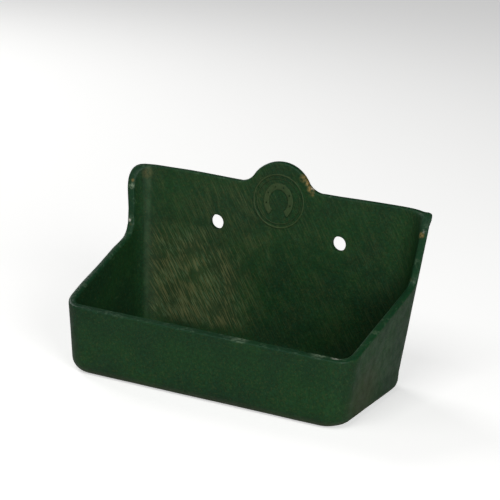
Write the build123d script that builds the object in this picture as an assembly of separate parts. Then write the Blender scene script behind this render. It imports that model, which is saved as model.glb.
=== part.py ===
from build123d import *

from math import cos, radians, sin, tan
import os

# Wall-mounted stable feed box: one thick-walled moulding, open at the top and low at the front.
#
# A tapered box stands in front of a tall back plate. The plate's two upright edges curl forward
# as short lips that run down into the sloping rims of the side walls, and a round tab carrying a
# plain emblem stands in the middle of its top edge. Two plain holes take the wall bolts.
#
# Millimetres. +X is right as seen from the front, -Y is the front, +Z is up. The origin is the
# middle of the two bolt holes, on the flat back face.

# Outer shape
base_width = 270.0          # across the floor, at the back
side_draft = 6.2            # degrees each side wall leans out as it rises
plan_taper = 1.3            # degrees each side wall turns in towards the front
base_depth = 154.0          # back face to front wall, at the floor
front_draft = 1.5           # degrees the front wall leans out
plate_height = 164.0        # underside to the plate's straight top edge
front_height = 63.0         # underside to the front rim
wall = 7.0                  # every wall
floor_thickness = 7.0

# Rounding of the moulding
back_corner_radius = 29.0   # outside, between back plate and side walls
front_corner_radius = 20.0  # outside, between front and side walls
base_edge_radius = 13.0     # outside, round the underside
floor_edge_radius = 9.0     # inside, round the floor
rim_edge_radius = 2.0       # both edges of the rim

# Side view of the rim
lip_depth = 23.0            # how far the plate's curled edges stand forward
slope_start_height = 103.0  # where the lip's edge line meets the sloping rim, before blending
lip_blend_radius = 18.0     # hollow between lip and slope
front_blend_radius = 40.0   # hollow between slope and front rim

# Tab and emblem on the plate
tab_radius = 31.5
tab_centre_drop = 8.2       # tab's centre below the plate's top edge
tab_blend_radius = 16.0     # hollow between tab and top edge
emblem_radius = 25.5
emblem_centre_drop = 13.0   # emblem's centre below the plate's top edge
emblem_ring_width = 1.6
emblem_relief = 0.8
shoe_radius = 12.5          # middle of the horseshoe's iron
shoe_width = 5.0
shoe_gap_angle = 70.0       # degrees left open between the heels
nail_hole_radius = 0.8
nail_holes = 6

# Wall bolts
hole_spacing = 123.0
hole_radius = 7.0
hole_drop = 43.0            # holes' centres below the plate's top edge

clear = 5.0                 # how far a cutting shape runs past what it cuts
touching = 0.001            # two shapes closer than this touch
level = 0.01                # two heights, or a face and an axis, closer than this are in line

tab_centre_height = plate_height - tab_centre_drop
emblem_centre_height = plate_height - emblem_centre_drop
hole_height = plate_height - hole_drop
lip_corner_radius = lip_depth - wall  # the lip's top is rounded from the plate's face to its edge


def corners_at(z, inset):
    """The four corners of the box's plan at height z, each wall moved in by inset."""
    side_inset = inset / (cos(radians(side_draft)) * cos(radians(plan_taper)))
    half = base_width / 2 + z * tan(radians(side_draft)) - side_inset
    back = -inset
    front = -base_depth - z * tan(radians(front_draft)) + inset / cos(radians(front_draft))
    turn = tan(radians(plan_taper))
    back_half = half + back * turn
    front_half = half + front * turn
    return [(-back_half, back), (back_half, back), (front_half, front), (-front_half, front)]


def tapered_box(z_low, z_high, inset, back_radius, front_radius, edge_radius):
    """A tapered solid with rounded upright corners and a rounded lower edge."""
    low = Pos(0, 0, z_low) * Polygon(*corners_at(z_low, inset), align=None)
    high = Pos(0, 0, z_high) * Polygon(*corners_at(z_high, inset), align=None)
    box = loft([low, high], ruled=True)
    for pick, radius in ((slice(0, 2), front_radius), (slice(-2, None), back_radius)):
        uprights = [e for e in box.edges() if e.bounding_box().size.Z > (z_high - z_low) / 2]
        by_depth = sorted(uprights, key=lambda e: e.center().Y)
        box = fillet(by_depth[pick], radius)
    return fillet(box.edges().group_by(Axis.Z)[0], edge_radius)


def air_above_rim():
    """Everything above the rim as seen from the side, to be cut away."""
    far = base_depth + plate_height
    flat_start = base_depth - wall
    outline = Polygon(
        (clear, plate_height),
        (-lip_depth, plate_height),
        (-lip_depth, slope_start_height),
        (-flat_start, front_height),
        (-far, front_height),
        (-far, far),
        (clear, far),
        align=None,
    )
    for y, z, radius in (
        (-lip_depth, plate_height, lip_corner_radius),
        (-lip_depth, slope_start_height, lip_blend_radius),
        (-flat_start, front_height, front_blend_radius),
    ):
        corner = outline.vertices().sort_by_distance(Vector(y, z, 0))[0]
        outline = fillet(corner, radius)
    return extrude(Plane.YZ * outline, far, both=True)


def flat_on_plate(sketch, y_back, y_front):
    """A front-view sketch (x right, y up) given thickness between two depths."""
    face_plane = Plane((0, y_back, 0), x_dir=(1, 0, 0), z_dir=(0, -1, 0))
    return extrude(face_plane * sketch, y_back - y_front)


def tab():
    """The round tab with its two blends, as thick as the plate it stands on."""
    strip_half = tab_radius + 2 * tab_blend_radius
    strip_low = tab_centre_height - tab_radius
    strip = Pos(0, (strip_low + plate_height) / 2) * Rectangle(2 * strip_half, plate_height - strip_low)
    outline = strip + Pos(0, tab_centre_height) * Circle(tab_radius)
    roots = [v for v in outline.vertices() if abs(v.Y - plate_height) < level and abs(v.X) < tab_radius]
    outline = fillet(roots, tab_blend_radius)
    return flat_on_plate(outline, 0, -wall)


def emblem():
    """A plain ring with a horseshoe inside it, standing a little proud of the plate."""
    ring = Circle(emblem_radius) - Circle(emblem_radius - emblem_ring_width)
    shoe = Circle(shoe_radius + shoe_width / 2) - Circle(shoe_radius - shoe_width / 2)
    reach = 2 * emblem_radius
    half_gap = radians(shoe_gap_angle / 2)
    gap = Polygon(
        (0, 0),
        (-reach * sin(half_gap), -reach * cos(half_gap)),
        (reach * sin(half_gap), -reach * cos(half_gap)),
        align=None,
    )
    shoe -= gap
    span = 360 - shoe_gap_angle
    for i in range(nail_holes):
        turn = -90 + shoe_gap_angle / 2 + span * (i + 1) / (nail_holes + 1)
        shoe -= Rot(0, 0, turn) * Pos(shoe_radius, 0) * Circle(nail_hole_radius)
    sunk = emblem_relief / 2
    sketch = Pos(0, emblem_centre_height) * (ring + shoe)
    return flat_on_plate(sketch, -wall + sunk, -wall - emblem_relief)


def bolt_hole(x):
    hole = Pos(x, hole_height) * Circle(hole_radius)
    return flat_on_plate(hole, clear, -wall - clear)


def rim_edges(shape, air):
    """The long edges on both sides of the rim, the plate's top edge and the tab."""
    on_rim = []
    for face in shape.faces():
        middle = face.position_at(0.5, 0.5)
        facing = face.normal_at(middle)
        on_tab = middle.Z > plate_height and abs(facing.Y) < level
        if on_tab or Vertex(*middle).distance_to(air) < touching:
            on_rim.append(face)
    edges = [e for f in on_rim for e in f.edges()]
    return [e for e in edges if sum(e.is_same(other) for other in edges) == 1]


top = tab_centre_height + tab_radius + clear
outer = tapered_box(0, top, 0, back_corner_radius, front_corner_radius, base_edge_radius)
inner = tapered_box(
    floor_thickness,
    top + clear,
    wall,
    back_corner_radius - wall,
    front_corner_radius - wall,
    floor_edge_radius,
)
air = air_above_rim()
moulding = outer - inner - air
moulding += tab()
moulding = fillet(rim_edges(moulding, air), rim_edge_radius)
for x in (-hole_spacing / 2, hole_spacing / 2):
    moulding -= bolt_hole(x)
moulding += emblem()

feed_box = Pos(0, 0, -hole_height) * moulding
os.makedirs("parts", exist_ok=True)
export_step(feed_box, "parts/feed_box_moulding.step")
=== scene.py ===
import math

import bmesh
import bpy
from mathutils import Matrix, Vector
from mathutils.bvhtree import BVHTree


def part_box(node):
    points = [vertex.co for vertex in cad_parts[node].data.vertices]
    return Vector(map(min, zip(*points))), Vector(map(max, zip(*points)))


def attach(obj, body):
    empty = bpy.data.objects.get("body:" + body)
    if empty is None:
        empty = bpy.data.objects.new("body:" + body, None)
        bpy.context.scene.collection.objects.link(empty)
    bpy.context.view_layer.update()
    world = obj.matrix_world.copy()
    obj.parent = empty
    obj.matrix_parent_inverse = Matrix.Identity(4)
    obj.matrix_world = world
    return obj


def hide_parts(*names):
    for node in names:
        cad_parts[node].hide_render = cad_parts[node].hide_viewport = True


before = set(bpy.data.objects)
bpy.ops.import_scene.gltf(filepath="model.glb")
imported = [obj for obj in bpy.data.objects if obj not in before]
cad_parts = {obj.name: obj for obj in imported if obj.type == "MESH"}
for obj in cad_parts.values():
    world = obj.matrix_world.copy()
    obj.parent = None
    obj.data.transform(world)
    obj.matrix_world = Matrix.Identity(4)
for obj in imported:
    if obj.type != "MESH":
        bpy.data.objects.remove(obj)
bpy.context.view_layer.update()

# Lengths in the dictionaries are millimetres unless a note says otherwise. The moulding is modelled
# standing on its underside, in millimetres, and goes to its place in metres when it is finished.
mm = 0.001
boxLow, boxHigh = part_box("feed_box_moulding")
underside = boxLow.z
boxMiddle = (boxLow + boxHigh) / 2
level = 0.05            # two places closer than this are in line
weld = 0.005            # two points closer than this are one
facing = 0.9            # a face's normal has at least this much of the direction it faces


# helpers for modelling as by hand

def deselectAll():
    if bpy.context.object and bpy.context.object.mode != "OBJECT":
        bpy.ops.object.mode_set(mode="OBJECT")
    for thing in bpy.context.selected_objects:
        thing.select_set(False)


def makeActive(piece):
    deselectAll()
    piece.select_set(True)
    bpy.context.view_layer.objects.active = piece


def applyPlace(piece):
    makeActive(piece)
    bpy.ops.object.transform_apply(location=True, rotation=True, scale=True)


def startEdit(piece, kind):
    makeActive(piece)
    bpy.ops.object.mode_set(mode="EDIT")
    bpy.ops.mesh.select_mode(type=kind)
    bpy.ops.mesh.select_all(action="DESELECT")


def endEdit():
    bpy.ops.object.mode_set(mode="OBJECT")


def middleOf(element):
    if isinstance(element, bmesh.types.BMVert):
        return element.co
    if isinstance(element, bmesh.types.BMEdge):
        return (element.verts[0].co + element.verts[1].co) / 2
    return element.calc_center_median()


def pick(piece, kind, test):
    # selects the points, edges or faces that pass a test on the element and its middle
    bpy.ops.mesh.select_mode(type=kind)
    bpy.ops.mesh.select_all(action="DESELECT")
    shape = bmesh.from_edit_mesh(piece.data)
    count = 0
    for item in {"VERT": shape.verts, "EDGE": shape.edges, "FACE": shape.faces}[kind]:
        if test(item, middleOf(item)):
            item.select_set(True)
            count += 1
    shape.select_flush_mode()
    bmesh.update_edit_mesh(piece.data)
    return count


def bevelPicked(offset, segments, affect="EDGES"):
    bpy.ops.mesh.bevel(offset=offset, segments=segments, profile=0.5, affect=affect, clamp_overlap=False)


def addModifier(piece, kind, **settings):
    makeActive(piece)
    modifier = piece.modifiers.new(kind.lower(), kind)
    for name, value in settings.items():
        setattr(modifier, name, value)
    bpy.ops.object.modifier_apply(modifier=modifier.name)


def combine(piece, tool, how, keepTool=False):
    addModifier(piece, "BOOLEAN", operation=how, object=tool, solver="EXACT")
    if not keepTool:
        bpy.data.objects.remove(tool)


def block(name, low, high):
    deselectAll()
    low, high = Vector(low), Vector(high)
    bpy.ops.mesh.primitive_cube_add(size=1, location=(low + high) / 2)
    piece = bpy.context.object
    piece.name = name
    piece.scale = high - low
    applyPlace(piece)
    return piece


def roundBar(name, middle, radius, length, sides):
    # a round bar lying front to back
    deselectAll()
    bpy.ops.mesh.primitive_cylinder_add(vertices=sides, radius=radius, depth=length, location=middle,
                                        rotation=(math.pi / 2, 0, 0))
    piece = bpy.context.object
    piece.name = name
    applyPlace(piece)
    return piece


# the moulding

boxSize = {
    "baseWidth": 270.0, "baseDepth": 154.0, "plateHeight": 164.0, "frontHeight": 63.0,
    "sideDraft": 6.2, "planTaper": 1.3, "frontDraft": 1.5,       # degrees
    "wall": 7.0, "backRadius": 29.0, "frontRadius": 20.0, "baseRadius": 13.0, "floorRadius": 9.0,
    "lipDepth": 23.0, "lipCorner": 16.0, "lipRise": 24.0, "lipHollow": 18.0,
    "slopeStart": 103.0, "frontHollow": 40.0,
    "rimRadius": 2.0, "rimAngle": 40.0, "rimSteps": 4, "cornerSteps": 10, "edgeSteps": 8,
    "tabRadius": 31.5, "tabDrop": 8.2, "tabHollow": 16.0, "tabShelf": 2.0, "tabSides": 180,
    "spare": 5.0,                                                # how far a cutter runs past what it cuts
    "smoothAngle": 35.0,
}
holeSize = {"spacing": 123.0, "radius": 7.0, "edge": 0.7, "edgeSteps": 3, "sides": 64}
tabMiddle = boxSize["plateHeight"] - boxSize["tabDrop"]
holeHeight = -underside / mm


def taperedBox(name, inset, low, high, backRadius, frontRadius, lowRadius):
    # a block drawn out into the tapered box, then its uprights and lower edge rounded
    s = boxSize
    sideTurn, planTurn = math.radians(s["sideDraft"]), math.radians(s["planTaper"])
    frontTurn = math.radians(s["frontDraft"])
    sideInset = inset / (math.cos(sideTurn) * math.cos(planTurn))

    def halfAt(z, y):
        return s["baseWidth"] / 2 + z * math.tan(sideTurn) - sideInset + y * math.tan(planTurn)

    def frontAt(z):
        return -s["baseDepth"] - z * math.tan(frontTurn) + inset / math.cos(frontTurn)

    back = -inset
    half = halfAt(low, back)
    piece = block(name, (-half, frontAt(low), low), (half, back, high))
    middleY = (frontAt(low) + back) / 2
    startEdit(piece, "VERT")
    for z in (low, high):
        pick(piece, "VERT", lambda v, p: abs(p.z - z) < level and p.y < middleY)
        bpy.ops.transform.translate(value=(0, frontAt(z) - frontAt(low), 0))
        bpy.ops.transform.resize(value=(halfAt(z, frontAt(z)) / half, 1, 1))
        pick(piece, "VERT", lambda v, p: abs(p.z - z) < level and p.y > middleY)
        bpy.ops.transform.resize(value=(halfAt(z, back) / half, 1, 1))
    for isFront, radius in ((True, frontRadius), (False, backRadius)):
        pick(piece, "EDGE", lambda e, p: abs(e.verts[0].co.z - e.verts[1].co.z) > (high - low) / 2
             and (p.y < middleY) == isFront)
        bevelPicked(radius, s["cornerSteps"])
    pick(piece, "EDGE", lambda e, p: all(abs(v.co.z - low) < level for v in e.verts))
    bevelPicked(lowRadius, s["edgeSteps"])
    endEdit()
    return piece


def extrudeTo(piece, start, end):
    # draws a new edge from the point at start to end, in the upright plane of the outline
    pick(piece, "VERT", lambda v, p: (p - start).length < level)
    bpy.ops.mesh.extrude_region_move(TRANSFORM_OT_translate={"value": end - start})


def tabBlock():
    # the tab's outline: a round top that runs out to the plate's edge in a hollow on each side
    s = boxSize
    reach = s["tabRadius"] + s["tabHollow"]
    rise = s["tabDrop"] + s["tabHollow"]
    outX, outZ = math.sqrt(reach ** 2 - rise ** 2) / reach, rise / reach
    run = (s["tabRadius"] * outZ - s["tabDrop"]) / outX
    foot = s["tabRadius"] * outX + run * outZ
    shelf = foot + run + s["tabShelf"]
    deselectAll()
    bpy.ops.mesh.primitive_circle_add(vertices=s["tabSides"], radius=s["tabRadius"],
                                      location=(0, 0, tabMiddle), rotation=(math.pi / 2, 0, 0))
    tab = bpy.context.object
    tab.name = "tabBlock"
    applyPlace(tab)
    startEdit(tab, "VERT")
    pick(tab, "VERT", lambda v, p: p.z < tabMiddle + s["tabRadius"] * outZ - level)
    bpy.ops.mesh.delete(type="VERT")
    shape = bmesh.from_edit_mesh(tab.data)
    ends = [v.co.copy() for v in shape.verts if len(v.link_edges) == 1]
    for end in ends:
        side = math.copysign(1, end.x)
        points = [end] + [Vector((side * x, 0, z)) for x, z in (
            (foot, s["plateHeight"]), (shelf, s["plateHeight"] - 2 * level),
            (shelf, tabMiddle - s["spare"]))]
        for start, stop in zip(points, points[1:]):
            extrudeTo(tab, start, stop)
    bpy.ops.mesh.select_all(action="SELECT")
    bpy.ops.mesh.edge_face_add()
    pick(tab, "VERT", lambda v, p: abs(p.z - s["plateHeight"]) < level and abs(abs(p.x) - foot) < level)
    bevelPicked(run, 2 * s["cornerSteps"], "VERTICES")
    bpy.ops.mesh.select_all(action="SELECT")
    bpy.ops.transform.translate(value=(0, -2 * s["lipDepth"], 0))
    bpy.ops.mesh.extrude_region_move(TRANSFORM_OT_translate={"value": (0, 4 * s["lipDepth"], 0)})
    bpy.ops.mesh.select_all(action="SELECT")
    bpy.ops.mesh.normals_make_consistent(inside=False)
    endEdit()
    return tab


def airAboveRim():
    # everything above the rim, seen from the side: cut away from the tapered box
    s = boxSize
    far = s["baseDepth"] + s["plateHeight"]
    slopeEnd = s["wall"] - s["baseDepth"]
    air = block("airAboveRim", (-far, -far, s["slopeStart"]), (far, -s["lipDepth"], far))
    startEdit(air, "VERT")
    bpy.ops.mesh.select_all(action="SELECT")
    bpy.ops.mesh.bisect(plane_co=(0, slopeEnd, 0), plane_no=(0, 1, 0))
    bpy.ops.mesh.select_all(action="SELECT")
    bpy.ops.mesh.bisect(plane_co=(0, 0, s["plateHeight"]), plane_no=(0, 0, 1))
    pick(air, "VERT", lambda v, p: abs(p.z - s["slopeStart"]) < level and p.y < slopeEnd + level)
    bpy.ops.transform.translate(value=(0, 0, s["frontHeight"] - s["slopeStart"]))
    pick(air, "FACE", lambda f, p: f.normal.y > facing and p.z > s["plateHeight"])
    bpy.ops.mesh.extrude_region_move(
        TRANSFORM_OT_translate={"value": (0, s["lipDepth"] + s["spare"], 0)})
    slope = math.atan2(s["slopeStart"] - s["frontHeight"], -slopeEnd - s["lipDepth"])
    corners = (
        (-s["lipDepth"], s["plateHeight"], s["lipCorner"], math.pi / 2),
        (-s["lipDepth"], s["slopeStart"], s["lipHollow"], math.pi / 2 - slope),
        (slopeEnd, s["frontHeight"], s["frontHollow"], slope),
    )
    for y, z, radius, turn in corners:
        pick(air, "EDGE", lambda e, p: abs(p.y - y) < level and abs(p.z - z) < level
             and abs(e.verts[0].co.x - e.verts[1].co.x) > far)
        bevelPicked(radius * math.tan(turn / 2), s["cornerSteps"])
    # the lip's top corner runs down further than it runs back
    pick(air, "VERT", lambda v, p: s["plateHeight"] - s["lipCorner"] - level < p.z < s["plateHeight"] + level
         and -s["lipDepth"] - level < p.y < level)
    bpy.ops.transform.resize(value=(1, 1, s["lipRise"] / s["lipCorner"]),
                             center_override=(0, 0, s["plateHeight"]))
    endEdit()
    combine(air, tabBlock(), "DIFFERENCE")
    return air


def makeMoulding():
    s = boxSize
    top = tabMiddle + s["tabRadius"] + s["spare"]
    moulding = taperedBox("feedBoxMoulding", 0, 0, top, s["backRadius"], s["frontRadius"], s["baseRadius"])
    inside = taperedBox("inside", s["wall"], s["wall"], top + s["spare"], s["backRadius"] - s["wall"],
                        s["frontRadius"] - s["wall"], s["floorRadius"])
    combine(moulding, inside, "DIFFERENCE")
    air = airAboveRim()
    combine(moulding, air, "DIFFERENCE", keepTool=True)
    startEdit(moulding, "EDGE")
    bpy.ops.mesh.edges_select_sharp(sharpness=math.radians(s["rimAngle"]))
    bevelPicked(s["rimRadius"], s["rimSteps"])
    endEdit()
    print("moulding: box, rim and tab", len(moulding.data.polygons))
    return moulding, air


def drillHoles(moulding):
    h = holeSize
    for side in (-1, 1):
        middle = (side * h["spacing"] / 2, 0, holeHeight)
        combine(moulding, roundBar("hole", middle, h["radius"], 4 * boxSize["wall"], h["sides"]),
                "DIFFERENCE")

    def onHoleEdge(edge, middle):
        reach = math.hypot(abs(middle.x) - h["spacing"] / 2, middle.z - holeHeight)
        flat = abs(edge.verts[0].co.y - edge.verts[1].co.y) < level
        return flat and abs(reach - h["radius"]) < level and middle.y > -boxSize["wall"] - level

    startEdit(moulding, "EDGE")
    pick(moulding, "EDGE", onHoleEdge)
    bevelPicked(h["edge"], h["edgeSteps"])
    endEdit()


def isOpen(edge, middle=None):
    return len(edge.link_faces) == 1


def closeRim(moulding):
    # drilling parts the front rim's long inner edge from its neighbour, which has more points along it
    startEdit(moulding, "EDGE")
    pick(moulding, "EDGE", isOpen)
    ends = [v.co.copy() for v in bmesh.from_edit_mesh(moulding.data).verts if v.select]
    for end in ends:
        pick(moulding, "EDGE", isOpen)
        bpy.ops.mesh.bisect(plane_co=end, plane_no=(1, 0, 0))
    pick(moulding, "VERT", lambda v, p: any(isOpen(e) for e in v.link_edges))
    bpy.ops.mesh.remove_doubles(threshold=weld)
    endEdit()
    print("moulding: rim closed")


# a plain ring, a finer ring inside it and a horseshoe, raised on the plate

emblemSize = {
    "drop": 13.0,                                                # its middle, below the plate's top edge
    "rings": ((24.7, 0.9, 1.0), (21.2, 0.5, 0.8)),               # radius, half width, height
    "ringSides": (120, 12),
    "shoeRadius": 12.0, "shoeWidth": 5.4, "shoeRelief": 1.0, "sunk": 0.6,
    "shoeGap": 76.0, "shoeSteps": 56, "shoeStretch": 1.16,       # degrees, steps round, height to width
    "nailRadius": 0.75, "nailDepth": 0.8, "nailSides": 16, "nails": 6, "edge": 0.45, "edgeSteps": 3,
}


def emblemRing(middle, radius, halfWidth, height):
    deselectAll()
    around, across = emblemSize["ringSides"]
    bpy.ops.mesh.primitive_torus_add(location=middle, rotation=(math.pi / 2, 0, 0), major_radius=radius,
                                     minor_radius=halfWidth, major_segments=around, minor_segments=across)
    ring = bpy.context.object
    ring.name = "emblemRing"
    applyPlace(ring)
    startEdit(ring, "VERT")
    bpy.ops.mesh.select_all(action="SELECT")
    bpy.ops.transform.resize(value=(1, height / halfWidth, 1))
    endEdit()
    return ring


def horseshoe(middle):
    # the iron's section, swept round and drawn a little longer than wide
    e = emblemSize
    shoe = block("horseshoe", (-e["shoeWidth"] / 2, -e["shoeRelief"], -1), (e["shoeWidth"] / 2, e["sunk"], 1))
    startEdit(shoe, "FACE")
    pick(shoe, "FACE", lambda f, p: abs(f.normal.z) < facing)
    bpy.ops.mesh.delete(type="FACE")
    pick(shoe, "VERT", lambda v, p: p.z < 0)
    bpy.ops.mesh.delete(type="VERT")
    pick(shoe, "VERT", lambda v, p: p.y < 0)
    bevelPicked(e["edge"], e["edgeSteps"], "VERTICES")
    bpy.ops.mesh.select_all(action="SELECT")
    bpy.ops.transform.translate(value=(e["shoeRadius"], 0, -1))
    gap = math.radians(e["shoeGap"])
    sweep = 2 * math.pi - gap
    bpy.ops.mesh.spin(steps=e["shoeSteps"], angle=sweep, center=(0, 0, 0), axis=(0, 1, 0))
    bpy.ops.mesh.select_all(action="SELECT")
    bpy.ops.mesh.remove_doubles(threshold=weld)
    bpy.ops.mesh.normals_make_consistent(inside=False)
    endEdit()
    shoe.rotation_euler = (0, math.pi / 2 - gap / 2, 0)
    applyPlace(shoe)
    for i in range(e["nails"]):
        turn = -math.pi / 2 + gap / 2 + sweep * (i + 1) / (e["nails"] + 1)
        nail = (e["shoeRadius"] * math.cos(turn), -e["shoeRelief"], e["shoeRadius"] * math.sin(turn))
        hole = roundBar("nailHole", nail, e["nailRadius"], 2 * e["nailDepth"], e["nailSides"])
        combine(shoe, hole, "DIFFERENCE")
    shoe.scale.z = e["shoeStretch"]
    shoe.location = middle
    applyPlace(shoe)
    return shoe


def raiseEmblem(moulding):
    middle = Vector((0, -boxSize["wall"], boxSize["plateHeight"] - emblemSize["drop"]))
    for ring in emblemSize["rings"]:
        combine(moulding, emblemRing(middle, *ring), "UNION")
    combine(moulding, horseshoe(middle), "UNION")
    print("moulding: emblem", len(moulding.data.polygons))


# the mesh is cut into a grid, finer along the rim, so that it can bend and the rim's wear can follow it

grid = {
    "step": 5.0, "merge": 0.02,
    "band": 6.0, "along": 0.3, "long": 2.4, "rimCuts": 2,        # which edges run along the rim, and cuts
}


def finishMesh(moulding, air):
    near = BVHTree.FromObject(air, bpy.context.evaluated_depsgraph_get())
    bpy.data.objects.remove(air)
    startEdit(moulding, "FACE")
    corners = [v.co for v in bmesh.from_edit_mesh(moulding.data).verts]
    for axis in range(3):
        low, high = min(c[axis] for c in corners), max(c[axis] for c in corners)
        normal = Vector([float(i == axis) for i in range(3)])
        count = int((high - low) / grid["step"])
        for i in range(count):
            place = low + (i + 0.5) * (high - low) / count

            def crosses(face, middle):
                across = [v.co[axis] for v in face.verts]
                return min(across) < place - grid["merge"] and max(across) > place + grid["merge"]

            if pick(moulding, "FACE", crosses):
                bpy.ops.mesh.bisect(plane_co=normal * place, plane_no=normal)
    bpy.ops.mesh.select_all(action="SELECT")
    bpy.ops.mesh.dissolve_degenerate(threshold=grid["merge"])
    print("moulding: grid", len(bmesh.from_edit_mesh(moulding.data).faces))

    def runsAlongRim(edge, middle):
        if edge.calc_length() < grid["long"]:
            return False
        gaps = [near.find_nearest(v.co)[3] for v in edge.verts]
        return max(gaps) < grid["band"] and abs(gaps[0] - gaps[1]) < grid["along"]

    pick(moulding, "EDGE", runsAlongRim)
    bpy.ops.mesh.subdivide(number_cuts=grid["rimCuts"])
    endEdit()
    fromRim = moulding.data.attributes.new("fromRim", "FLOAT", "POINT")
    fromRim.data.foreach_set("value", [near.find_nearest(v.co)[3] for v in moulding.data.vertices])
    print("moulding: rim cuts", len(moulding.data.polygons))


# how far the real moulding has gone out of true since it left its mould

wear = {
    "wave": 45.0, "waveHeight": 0.45,                            # long shallow waves in the walls
    "bends": (                                                  # place, move, reach
        ((151, -12, 163), (2.4, 0.0, 2.6), 11), ((-142, -16, 160), (0.0, 0.0, 0.7), 35),
        ((-95, -3, 164), (0.0, 0.0, 0.9), 55), ((110, -3, 164), (0.0, 0.0, 0.8), 55),
        ((-143, -23, 113), (-0.8, 0.0, 0.0), 12), ((-144, -38, 96), (0.5, 0.0, -0.8), 24),
        ((-144, -120, 66), (-0.5, 0.0, 0.5), 42),
    ),
    "footMove": (1.3, -1.1), "footReach": 13,                    # the sides' lower edge, outwards and down
    "footEnds": (-131, -9), "footBand": (2, 6),                 # its points: front and back, low and high
    "footOut": 127, "footTaper": 0.023,                         # how far out, and less towards the front
    "footCorner": (-30, 0.35),                                  # where the back corner begins, its turn
    "nicks": (
        ((-146, -22, 148), (0.4, 0.5, -0.2), 3.5), ((-144, -24, 110), (0.5, 0.5, 0.0), 3.0),
        ((30, -4, 172), (-0.6, 0.3, -0.4), 3.5), ((96, -149, 63), (0.0, 0.3, -0.5), 3.5),
        ((125, -146, 63), (-0.3, 0.4, -0.5), 3.5), ((-142, -96, 74), (0.3, 0.0, -0.4), 3.5),
        ((147, -23, 128), (-0.5, 0.5, 0.0), 3.5), ((142, -100, 72), (-0.3, 0.0, -0.5), 3.5),
    ),
}


def outOfTrue(moulding):
    waves = bpy.data.textures.new("wallWaves", "CLOUDS")
    waves.noise_scale = wear["wave"]
    waves.noise_depth = 1
    addModifier(moulding, "DISPLACE", texture=waves, texture_coords="LOCAL", mid_level=0.5,
                strength=wear["waveHeight"])
    startEdit(moulding, "VERT")
    for place, move, reach in wear["bends"] + wear["nicks"]:
        centre = Vector(place)
        shape = bmesh.from_edit_mesh(moulding.data)
        nearest = min(shape.verts, key=lambda v: (v.co - centre).length).co.copy()
        pick(moulding, "VERT", lambda v, p: (p - nearest).length < weld)
        bpy.ops.transform.translate(value=move, use_proportional_edit=True, proportional_size=reach,
                                    proportional_edit_falloff="SMOOTH")
    # the underside's edge is tighter along the sides than at the front
    outMove, downMove = wear["footMove"]
    frontEnd, backEnd = wear["footEnds"]
    lowest, highest = wear["footBand"]
    cornerStart, cornerTurn = wear["footCorner"]
    for side in (-1, 1):
        pick(moulding, "VERT", lambda v, p: lowest < p.z < highest and frontEnd < p.y < backEnd
             and side * p.x - wear["footTaper"] * p.y
             > wear["footOut"] - max(0, p.y - cornerStart) * cornerTurn)
        bpy.ops.transform.translate(value=(side * outMove, 0, downMove), use_proportional_edit=True,
                                    proportional_size=wear["footReach"], proportional_edit_falloff="SMOOTH")
    # it stands flat all the same
    pick(moulding, "VERT", lambda v, p: p.z < 0)
    bpy.ops.transform.resize(value=(1, 1, 0), center_override=(0, 0, 0))
    endEdit()
    print("moulding: waves, bends and nicks")


moulding, air = makeMoulding()
drillHoles(moulding)
closeRim(moulding)
raiseEmblem(moulding)
finishMesh(moulding, air)
outOfTrue(moulding)
makeActive(moulding)
moulding.scale = (mm, mm, mm)
moulding.location = (0, 0, underside)
applyPlace(moulding)
bpy.ops.object.shade_smooth_by_angle(angle=math.radians(boxSize["smoothAngle"]))
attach(moulding, "root")
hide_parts("feed_box_moulding")


# material helpers

def linear(hexColour):
    values = [int(hexColour[i:i + 2], 16) / 255 for i in (1, 3, 5)]
    return tuple(v / 12.92 if v <= 0.04045 else ((v + 0.055) / 1.055) ** 2.4 for v in values) + (1,)


def newMaterial(name):
    material = bpy.data.materials.new(name)
    material.use_nodes = True
    material.node_tree.nodes.clear()
    return material


def addNode(material, kind, settings=None, **links):
    # each link is a value, an output or a node, which gives the first output that it has in use
    node = material.node_tree.nodes.new(kind)
    for name, value in (settings or {}).items():
        setattr(node, name, value)
    for name, value in links.items():
        socket = node.inputs[int(name[1:])] if name[0] == "_" else node.inputs[name.replace("_", " ")]
        if isinstance(value, bpy.types.Node):
            value = next(output for output in value.outputs if output.enabled)
        if isinstance(value, bpy.types.NodeSocket):
            material.node_tree.links.new(value, socket)
        else:
            socket.default_value = value
    return node


# settings that several nodes share
colours = {"data_type": "RGBA"}
eased = {"interpolation_type": "SMOOTHSTEP"}
times = {"operation": "MULTIPLY"}
timesPlus = {"operation": "MULTIPLY_ADD"}
larger = {"operation": "MAXIMUM"}
distance = {"operation": "DISTANCE"}

# green rubber, taken to be compression moulded. That gives it a dull even skin with a fine grain.
# Wear has polished its rim, brushed dusty strokes across the plate, and rubbed the proud edges down
# to pale, tan and white.
# The rim's cooler teal tint is painted sheen; the pale streak down the left back corner and three white spots
# on the right lip are painted highlights.

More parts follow.
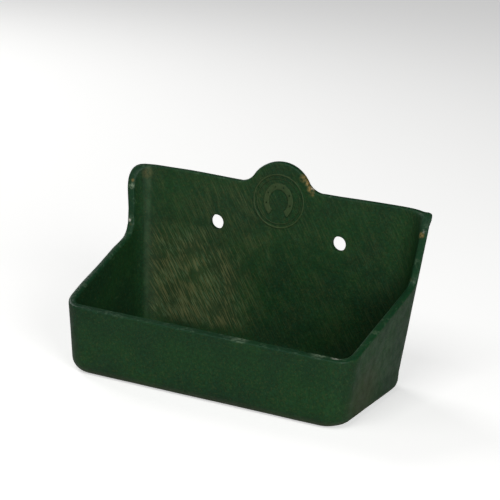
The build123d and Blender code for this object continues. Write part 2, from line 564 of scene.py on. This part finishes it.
rubber = {
    "dark": "#13321a", "light": "#183c1b", "shade": (0.76, 1.24),
    "specks": (("#48502c", 0.8, 0.34), ("#26503c", 0.2, 0.3)),   # colour, where it is full, strength
    "dust": "#5f6a45", "dustUneven": (0.55, 1.15),
    # the pale stroke colour is used for the dust strokes and scratches, and also for the painted highlight
    # down the left back corner
    "tanStroke": "#7d7c50", "paleStrokeAndHighlight": "#64825c",
    # the rim colour and its tint strength give the rim a painted sheen, a cooler teal standing in for
    # reflected sky
    "rim": "#16402c", "rimSheenTint": 0.35, "rimGap": (0.6, 2.2),
    "paleRub": "#93a58a", "tanRub": "#a5854f", "whiteRubAndHighlight": "#d8d6c8", "chipStrength": 0.12,
    "soil": "#4a4128", "soilHeight": (9, 1), "soilStrength": 0.3,
    "emblemTint": 0.25, "emblemReach": (30, 27), "emblemFace": (("Y", -7.3, -7.9),),
    "ior": 1.5, "specular": 0.15,
    "roughness": (0.48, 0.6), "rimPolish": -0.12, "dustDull": 0.3,
    "bump": 0.35, "bumpDepth": 0.5, "relief": (("grain", 0.25), ("mottle", 0.45), ("peel", 0.9)),
    "patterns": {                                               # size, detail; grain drawn coarse to show
        "clouds": (40.0, 3.0), "mottle": (2.5, 2.0), "specks": (1.6, 1.0), "grain": (0.7, 2.0),
        "peel": (8.0, 2.0), "chips": (9.0, 2.0), "streakBreaks": (11.0, 2.0),
    },
    "levels": {                                                 # noise level where it starts, and is full
        "tone": (0.3, 0.7), "shade": (0.25, 0.75), "specks": 0.5, "uneven": (0.2, 0.7),
        "strokes": (0.34, 0.56), "streak": (0.32, 0.6), "chips": (0.52, 0.66), "smallChips": (0.42, 0.62),
        "ragged": (0.3, 0.6), "dull": (0.3, 0.7), "strokeEdge": 0.12,
    },
    "plateFace": (("Y", -17, -7.5), ("Z", -112, -95), ("Y", -2, -6)),   # axis, start, where it is full
    "dustPatches": (                                            # centre, reach, strength
        ((-88, -7, -75), 92, 0.22), ((-50, -7, 0), 80, 0.05),
    ),
    "inDust": (0.2, 0.12, 0.95),                                # full dust, strokes without dust and with
    "strokes": (                                                # colour, size of the breaks in it
        ("tanStroke", 14.0, (57, 17.0, 0.8, 0.50, 0.50)),       # slope, length, width, threshold, strength
        ("paleStrokeAndHighlight", 19.0, (53, 10.0, 0.8, 0.52, 0.42)),
        ("tanStroke", 24.0, (62, 24.0, 1.1, 0.53, 0.36)),
    ),
    "scratches": ((71, 12.0, 0.6, 0.66, 0.12), (-38, 9.0, 0.6, 0.68, 0.12)),
    "streakStart": -131.6, "streakLean": -0.055,                # X of the corner's painted highlight streak, and its lean
    "streakWidth": (0.4, 3.4), "streakStrength": 0.15, "streakLeast": 0.25,
    "streakDepth": (("Y", -20, -14), ("Y", -6.5, -7.5)),
    "tanPlaces": (                                              # place, reach, strength
        ((23, -5, 55), 6, 0.4), ((27, -5, 51), 4, 0.8), ((30, -5, 46), 4.5, 0.9), ((32, -5, 42), 4, 0.6),
        ((-143, -22, 40), 3, 0.6), ((-144, -23, 30), 3, 0.7), ((-142, -22, -14), 4, 0.8),
        ((-140, -22, -20), 3, 0.5), ((144, -23, 26), 4, 0.6), ((141, -23, -16), 4, 0.6),
        ((-134, -12, 36), 7, 0.15), ((-134, -12, -1), 1.4, 0.7), ((128, -155, -76), 2, 0.7),
    ),
    "palePlaces": (                                             # these and the white ones are on the rim
        ((-139, -20, 42), 4, 0.6), ((-144, -23, 36), 4, 0.8), ((-144, -23, 24), 4, 0.5),
        ((147, -23, 36), 5, 0.6), ((36, -151, -58), 9, 0.35), ((108, -148, -58), 10, 0.4),
        ((-143, -124, -60), 8, 0.7), ((-143, -88, -48), 7, 0.6), ((143, -90, -50), 5, 0.3),
    ),
    # the three white spots on the right lip, at x 141, 146 and 149, are painted highlights; the others are
    # white rubs and flash
    "whiteRubsAndHighlights": (
        ((-144, -23, -9), 2.2, 0.9), ((122, -147, -58), 6, 0.6), ((146, -23, 30), 3, 0.6),
        ((149, -23, 38), 4, 0.5), ((141, -22, -12), 2.5, 0.7), ((31, -4, 46), 3, 0.6),
    ),
    "soilPlaces": (((140, -108, -100), 42, 0.25),),
}


def brushed(m, place, slope, length, width, threshold, strength):
    # thin strokes that fall to the right by slope degrees as seen from the front
    turned = addNode(m, "ShaderNodeMapping", {"vector_type": "TEXTURE"}, Vector=place,
                     Rotation=(0, math.radians(slope), 0), Scale=(length, length, width))
    streaks = addNode(m, "ShaderNodeTexNoise", Vector=turned, Scale=1.0, Detail=1.0)
    return addNode(m, "ShaderNodeMapRange", eased, Value=streaks, From_Min=threshold,
                   From_Max=threshold + rubber["levels"]["strokeEdge"], To_Max=strength)


def patches(m, place, places):
    # soft round places, full out to a quarter of their reach
    total = None
    for centre, reach, strength in places:
        far = addNode(m, "ShaderNodeVectorMath", distance, _0=place, _1=centre)
        patch = addNode(m, "ShaderNodeMapRange", eased, Value=far, From_Min=reach / 4, From_Max=reach,
                        To_Min=strength, To_Max=0.0)
        total = patch if total is None else addNode(m, "ShaderNodeMath", larger, _0=total, _1=patch)
    return total


def within(m, along, limits):
    # one where every limit is met, each with an axis, where it starts and where it is full
    total = None
    for axis, start, full in limits:
        part = addNode(m, "ShaderNodeMapRange", eased, Value=along[axis], From_Min=start, From_Max=full)
        total = part if total is None else addNode(m, "ShaderNodeMath", times, _0=total, _1=part)
    return total


def greenSkin(m, pattern):
    # two close greens in soft clouds, mottled, with warm and cool specks
    r = rubber
    start, full = r["levels"]["tone"]
    tone = addNode(m, "ShaderNodeMapRange", eased, Value=pattern["clouds"], From_Min=start, From_Max=full)
    green = addNode(m, "ShaderNodeMix", colours, _0=tone, _6=linear(r["dark"]), _7=linear(r["light"]))
    start, full = r["levels"]["shade"]
    darkest, lightest = r["shade"]
    shade = addNode(m, "ShaderNodeMapRange", eased, Value=pattern["mottle"], From_Min=start,
                    From_Max=full, To_Min=darkest, To_Max=lightest)
    skin = addNode(m, "ShaderNodeHueSaturation", Color=green, Value=shade)
    for colour, full, strength in r["specks"]:
        speck = addNode(m, "ShaderNodeMapRange", eased, Value=pattern["specks"],
                        From_Min=r["levels"]["specks"], From_Max=full, To_Max=strength)
        skin = addNode(m, "ShaderNodeMix", colours, _0=speck, _6=skin, _7=linear(colour))
    return skin


def settledDust(m, place, onPlate, pattern):
    # dust lies in soft places on the plate's front, unevenly
    start, full = rubber["levels"]["uneven"]
    least, most = rubber["dustUneven"]
    uneven = addNode(m, "ShaderNodeMapRange", eased, Value=pattern["peel"], From_Min=start, From_Max=full,
                     To_Min=least, To_Max=most)
    dusty = addNode(m, "ShaderNodeMath", times, _0=patches(m, place, rubber["dustPatches"]), _1=uneven)
    return addNode(m, "ShaderNodeMath", times, _0=dusty, _1=onPlate)


def strokesInDust(m, skin, place, onPlate, dusty):
    # the dust is smeared about in strokes, which show most where it lies thickest
    r = rubber
    full, without, inside = r["inDust"]
    inDust = addNode(m, "ShaderNodeMapRange", eased, Value=dusty, From_Max=full, To_Min=without,
                     To_Max=inside)
    inDust = addNode(m, "ShaderNodeMath", times, _0=inDust, _1=onPlate)
    start, full = r["levels"]["strokes"]
    for colour, breaks, stroke in r["strokes"]:
        gaps = addNode(m, "ShaderNodeTexNoise", Vector=place, Scale=1 / breaks, Detail=2.0)
        broken = addNode(m, "ShaderNodeMapRange", eased, Value=gaps, From_Min=start, From_Max=full)
        smear = addNode(m, "ShaderNodeMath", times, _0=brushed(m, place, *stroke), _1=broken)
        smear = addNode(m, "ShaderNodeMath", times, _0=smear, _1=inDust)
        skin = addNode(m, "ShaderNodeMix", colours, _0=smear, _6=skin, _7=linear(r[colour]))
    for scratch in r["scratches"]:
        skin = addNode(m, "ShaderNodeMix", colours, _0=brushed(m, place, *scratch), _6=skin,
                       _7=linear(r["paleStrokeAndHighlight"]))
    return skin


def paintedCornerHighlight(m, skin, along, pattern):
    # a painted highlight: a pale streak down the hollow of the left back corner, standing in for light
    # reflected in that curve
    r = rubber
    middle = addNode(m, "ShaderNodeMath", timesPlus, _0=along["Z"], _1=r["streakLean"], _2=r["streakStart"])
    beside = addNode(m, "ShaderNodeMath", {"operation": "SUBTRACT"}, _0=along["X"], _1=middle)
    beside = addNode(m, "ShaderNodeMath", {"operation": "ABSOLUTE"}, _0=beside)
    core, edge = r["streakWidth"]
    streak = addNode(m, "ShaderNodeMapRange", eased, Value=beside, From_Min=core, From_Max=edge,
                     To_Min=r["streakStrength"], To_Max=0.0)
    start, full = r["levels"]["streak"]
    broken = addNode(m, "ShaderNodeMapRange", eased, Value=pattern["streakBreaks"], From_Min=start,
                     From_Max=full, To_Min=r["streakLeast"])
    streak = addNode(m, "ShaderNodeMath", times, _0=streak, _1=broken)
    streak = addNode(m, "ShaderNodeMath", times, _0=streak, _1=within(m, along, r["streakDepth"]))
    return addNode(m, "ShaderNodeMix", colours, _0=streak, _6=skin, _7=linear(r["paleStrokeAndHighlight"]))


def rimWearAndSheen(m, skin, place, onRim, pattern):
    # the handled rim is smoother and broken by pale, tan and white rubs; its cooler teal tint is painted
    # sheen, and the white spots on the right lip are painted highlights
    r = rubber
    rimSheen = addNode(m, "ShaderNodeMath", times, _0=onRim, _1=r["rimSheenTint"])
    skin = addNode(m, "ShaderNodeMix", colours, _0=rimSheen, _6=skin, _7=linear(r["rim"]))
    start, full = r["levels"]["chips"]
    chips = addNode(m, "ShaderNodeMapRange", eased, Value=pattern["chips"], From_Min=start, From_Max=full)
    start, full = r["levels"]["smallChips"]
    small = addNode(m, "ShaderNodeMapRange", eased, Value=pattern["mottle"], From_Min=start, From_Max=full)
    chips = addNode(m, "ShaderNodeMath", times, _0=chips, _1=small)
    chips = addNode(m, "ShaderNodeMath", times, _0=chips, _1=onRim)
    chips = addNode(m, "ShaderNodeMath", times, _0=chips, _1=r["chipStrength"])
    skin = addNode(m, "ShaderNodeMix", colours, _0=chips, _6=skin, _7=linear(r["paleRub"]))
    start, full = r["levels"]["ragged"]
    ragged = addNode(m, "ShaderNodeMapRange", eased, Value=pattern["mottle"], From_Min=start, From_Max=full)
    for places, colour in (("palePlaces", "paleRub"), ("tanPlaces", "tanRub"), ("whiteRubsAndHighlights", "whiteRubAndHighlight")):
        rub = addNode(m, "ShaderNodeMath", times, _0=patches(m, place, r[places]), _1=ragged)
        if places != "tanPlaces":
            rub = addNode(m, "ShaderNodeMath", times, _0=rub, _1=onRim)
        skin = addNode(m, "ShaderNodeMix", colours, _0=rub, _6=skin, _7=linear(r[colour]))
    return skin


def emblemDust(m, skin, place, along):
    # the raised rings and horseshoe have caught a little of the dust
    r = rubber
    emblemHeight = boxSize["plateHeight"] - emblemSize["drop"] - holeHeight
    far = addNode(m, "ShaderNodeVectorMath", distance, _0=place, _1=(0, -boxSize["wall"], emblemHeight))
    edge, full = r["emblemReach"]
    near = addNode(m, "ShaderNodeMapRange", eased, Value=far, From_Min=edge, From_Max=full)
    raised = addNode(m, "ShaderNodeMath", times, _0=within(m, along, r["emblemFace"]), _1=near)
    raised = addNode(m, "ShaderNodeMath", times, _0=raised, _1=r["emblemTint"])
    return addNode(m, "ShaderNodeMix", colours, _0=raised, _6=skin, _7=linear(r["dust"]))


def footSoil(m, skin, place, along):
    # soil from the floor, low down all round and higher on the right side
    r = rubber
    clean, full = r["soilHeight"]
    low = addNode(m, "ShaderNodeMapRange", eased, Value=along["Z"], From_Min=underside / mm + clean,
                  From_Max=underside / mm + full, To_Max=r["soilStrength"])
    soiled = addNode(m, "ShaderNodeMath", larger, _0=low, _1=patches(m, place, r["soilPlaces"]))
    return addNode(m, "ShaderNodeMix", colours, _0=soiled, _6=skin, _7=linear(r["soil"]))


def mouldedGreenRubber():
    r = rubber
    m = newMaterial("mouldedGreenRubber")
    inMetres = addNode(m, "ShaderNodeTexCoord").outputs["Object"]
    place = addNode(m, "ShaderNodeVectorMath", {"operation": "SCALE"}, Vector=inMetres, Scale=1 / mm)
    along = addNode(m, "ShaderNodeSeparateXYZ", Vector=place).outputs
    pattern = {}
    for name, (size, detail) in r["patterns"].items():
        pattern[name] = addNode(m, "ShaderNodeTexNoise", Vector=place, Scale=1 / size, Detail=detail)
    fromRim = addNode(m, "ShaderNodeAttribute", {"attribute_name": "fromRim"}).outputs["Fac"]
    full, edge = r["rimGap"]
    onRim = addNode(m, "ShaderNodeMapRange", eased, Value=fromRim, From_Min=full, From_Max=edge,
                    To_Min=1.0, To_Max=0.0)
    onPlate = within(m, along, r["plateFace"])
    dusty = settledDust(m, place, onPlate, pattern)

    skin = greenSkin(m, pattern)
    skin = addNode(m, "ShaderNodeMix", colours, _0=dusty, _6=skin, _7=linear(r["dust"]))
    skin = strokesInDust(m, skin, place, onPlate, dusty)
    # painted highlight down the left back corner's hollow
    skin = paintedCornerHighlight(m, skin, along, pattern)
    # the rim's real wear, with painted sheen and painted highlights on it
    skin = rimWearAndSheen(m, skin, place, onRim, pattern)
    skin = emblemDust(m, skin, place, along)
    skin = footSoil(m, skin, place, along)

    start, full = r["levels"]["dull"]
    least, most = r["roughness"]
    dull = addNode(m, "ShaderNodeMapRange", eased, Value=pattern["peel"], From_Min=start, From_Max=full,
                   To_Min=least, To_Max=most)
    dull = addNode(m, "ShaderNodeMath", timesPlus, _0=onRim, _1=r["rimPolish"], _2=dull)
    dull = addNode(m, "ShaderNodeMath", timesPlus, _0=dusty, _1=r["dustDull"], _2=dull)
    relief = 0.0
    for name, share in r["relief"]:
        relief = addNode(m, "ShaderNodeMath", timesPlus, _0=pattern[name], _1=share, _2=relief)
    bump = addNode(m, "ShaderNodeBump", Strength=r["bump"], Distance=r["bumpDepth"] * mm, Height=relief)
    shader = addNode(m, "ShaderNodeBsdfPrincipled", Base_Color=skin, Roughness=dull, IOR=r["ior"],
                     Specular_IOR_Level=r["specular"], Normal=bump)
    addNode(m, "ShaderNodeOutputMaterial", Surface=shader)
    print("material: moulded green rubber", len(m.node_tree.nodes), "nodes")
    return m


moulding.data.materials.clear()
moulding.data.materials.append(mouldedGreenRubber())


# floor, light and camera

studio = {
    "floorSize": 30.0,                                          # metres
    "azimuth": 23.892, "elevation": 14.962, "roll": 4.149,      # degrees
    "distance": 1.5747, "lens": 125.99, "sensor": 36.0,         # metres, millimetres, millimetres
    "aim": (-0.0061, 0.0278, 0.0192),                           # metres from the middle of the box
    "lightDistance": 2.5, "lightSide": 1.2, "air": 0.01,        # metres, metres, strength
    "paper": "#f4f4f2", "paperGlow": 0.5,
    "softboxes": (                                              # azimuth, elevation, watts
        (50, 20, 33.0), (0, 52, 19.0), (-40, 30, 6.0), (-115, 30, 20.0),
    ),
}


def makeFloor():
    deselectAll()
    bpy.ops.mesh.primitive_plane_add(size=studio["floorSize"], location=(0, 0, underside))
    floor = bpy.context.object
    floor.name = "floor"
    applyPlace(floor)
    # white studio paper, lit a little more for the camera than for the object on it
    m = newMaterial("whitePaper")
    paper = addNode(m, "ShaderNodeBsdfDiffuse", Color=linear(studio["paper"]))
    seen = addNode(m, "ShaderNodeLightPath").outputs["Is Camera Ray"]
    glow = addNode(m, "ShaderNodeMath", times, _0=seen, _1=studio["paperGlow"])
    glow = addNode(m, "ShaderNodeEmission", Color=linear("#ffffff"), Strength=glow)
    lit = addNode(m, "ShaderNodeAddShader", _0=paper, _1=glow)
    addNode(m, "ShaderNodeOutputMaterial", Surface=lit)
    floor.data.materials.append(m)
    print("floor: white paper")


def outwards(azimuth, elevation):
    # from the middle of the box, 0 degrees to the front and 90 to the right
    a, e = math.radians(azimuth), math.radians(elevation)
    return Vector((math.sin(a) * math.cos(e), -math.cos(a) * math.cos(e), math.sin(e)))


def makeLights():
    for i, (azimuth, elevation, watts) in enumerate(studio["softboxes"]):
        data = bpy.data.lights.new("softbox" + str(i), "AREA")
        data.shape = "SQUARE"
        data.size = studio["lightSide"]
        data.energy = watts
        softbox = bpy.data.objects.new(data.name, data)
        bpy.context.scene.collection.objects.link(softbox)
        away = outwards(azimuth, elevation)
        softbox.location = boxMiddle + away * studio["lightDistance"]
        softbox.rotation_euler = (-away).to_track_quat("-Z", "Y").to_euler()
    world = bpy.data.worlds.new("studioAir")
    world.use_nodes = True
    background = world.node_tree.nodes["Background"]
    background.inputs["Color"].default_value = (1, 1, 1, 1)
    background.inputs["Strength"].default_value = studio["air"]
    bpy.context.scene.world = world
    bpy.context.scene.view_settings.view_transform = "Standard"
    print("lights:", len(studio["softboxes"]), "softboxes")


def makeCamera():
    data = bpy.data.cameras.new("camera")
    data.lens = studio["lens"]
    data.sensor_width = studio["sensor"]
    roll = math.radians(studio["roll"])
    back = outwards(studio["azimuth"], studio["elevation"])
    right = (-back).cross(Vector((0, 0, 1))).normalized()
    up = right.cross(-back)
    across = right * math.cos(roll) + up * math.sin(roll)
    along = up * math.cos(roll) - right * math.sin(roll)
    turn = Matrix((across, along, back)).transposed().to_4x4()
    camera = bpy.data.objects.new("camera", data)
    bpy.context.scene.collection.objects.link(camera)
    target = boxMiddle + Vector(studio["aim"])
    camera.matrix_world = Matrix.Translation(target + back * studio["distance"]) @ turn
    bpy.context.scene.camera = camera
    print("camera: set")


makeFloor()
makeLights()
makeCamera()
